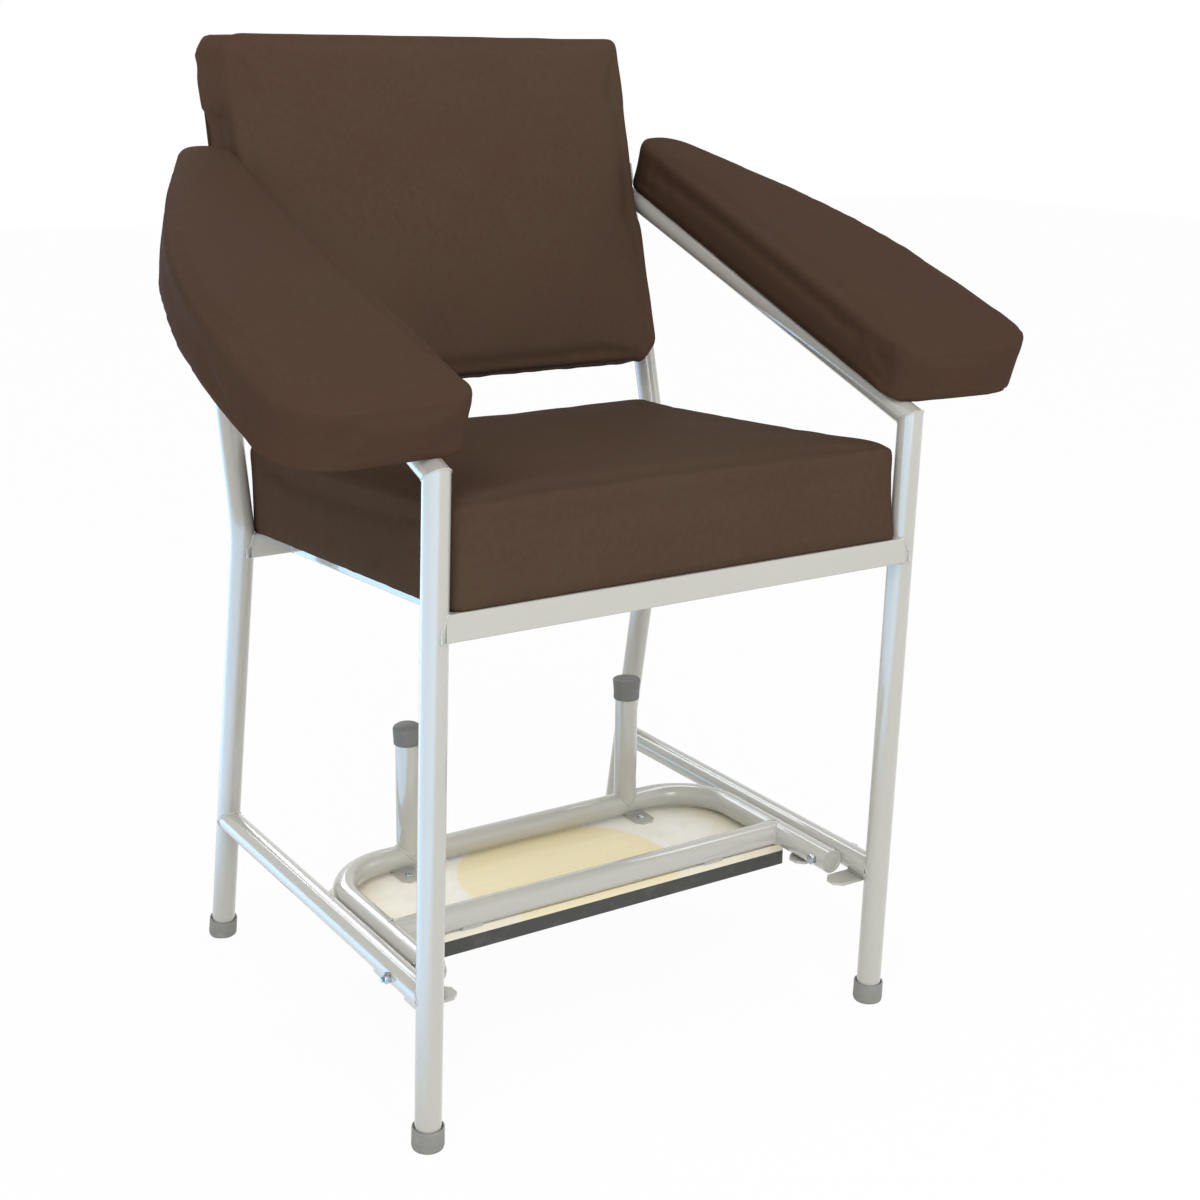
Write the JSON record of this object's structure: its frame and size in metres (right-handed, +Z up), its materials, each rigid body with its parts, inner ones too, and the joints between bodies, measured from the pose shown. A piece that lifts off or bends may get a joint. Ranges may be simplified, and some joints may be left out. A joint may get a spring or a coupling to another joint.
{
  "type": "phlebotomy chair",
  "caption": "Blood-drawing chair: welded tube frame, padded seat and back, sloping padded arm rests, and a flip-over footrest stowed under the seat.",
  "frame": {"origin": "on the floor, under the middle of the chair's bounding box", "axes": "+X to the right seen from the front, the sitter faces -Y, +Z up"},
  "size_m": [0.8484, 0.5617, 1.0044],
  "materials": {
    "enamel": "off-white enamel, satin",
    "vinyl": "matt brown vinyl with a fine grain",
    "plywood": "pale plywood, unvarnished",
    "rubber_tip": "mid-grey rubber, matt",
    "rubber_tread": "dark grey ribbed rubber",
    "zinc": "bright zinc plate"
  },
  "bodies": {
    "chair": {"front_leg_left": "enamel", "front_leg_right": "enamel", "rear_leg_left": "enamel", "rear_leg_right": "enamel", "lower_rail_left": "enamel", "lower_rail_right": "enamel", "seat_front_rail": "enamel", "seat_rear_rail": "enamel", "seat_side_rail_left": "enamel", "seat_side_rail_right": "enamel", "arm_rail_left": "enamel", "arm_rail_right": "enamel", "back_lower_rail": "enamel", "back_upper_rail": "enamel", "arm_pad_plates_left": "enamel", "arm_pad_plates_right": "enamel", "front_stop_tabs": "enamel", "rear_stop_tabs": "enamel", "front_leg_tips": "rubber_tip", "rear_leg_tips": "rubber_tip", "upright_plugs": "rubber_tip", "seat_board": "plywood", "seat_cushion": "vinyl", "seat_screws": "zinc", "back_board": "plywood", "back_cushion": "vinyl", "back_screws": "zinc", "arm_board_left": "plywood", "arm_board_right": "plywood", "arm_pad_left": "vinyl", "arm_pad_right": "vinyl", "arm_pad_screws": "zinc", "pivot_bolts": "zinc", "pivot_nuts": "zinc", "pivot_washers": "zinc"},
    "footrest": {"footrest_loop": "enamel", "footrest_cross_tube": "enamel", "footrest_post_left": "enamel", "footrest_post_right": "enamel", "footrest_post_tips": "rubber_tip", "footrest_arm_ends": "enamel", "pivot_sleeves": "zinc", "footrest_lugs": "enamel", "footrest_board": "plywood", "footrest_tread": "rubber_tread", "footrest_screws": "zinc"}
  },
  "joints": [
    {"name": "footrest_pivot", "type": "hinge", "parent": "chair", "child": "footrest", "pos_m": [0, -0.18612, 0.1495], "axis": [1, 0, 0], "range_deg": [0, 180]}
  ]
}
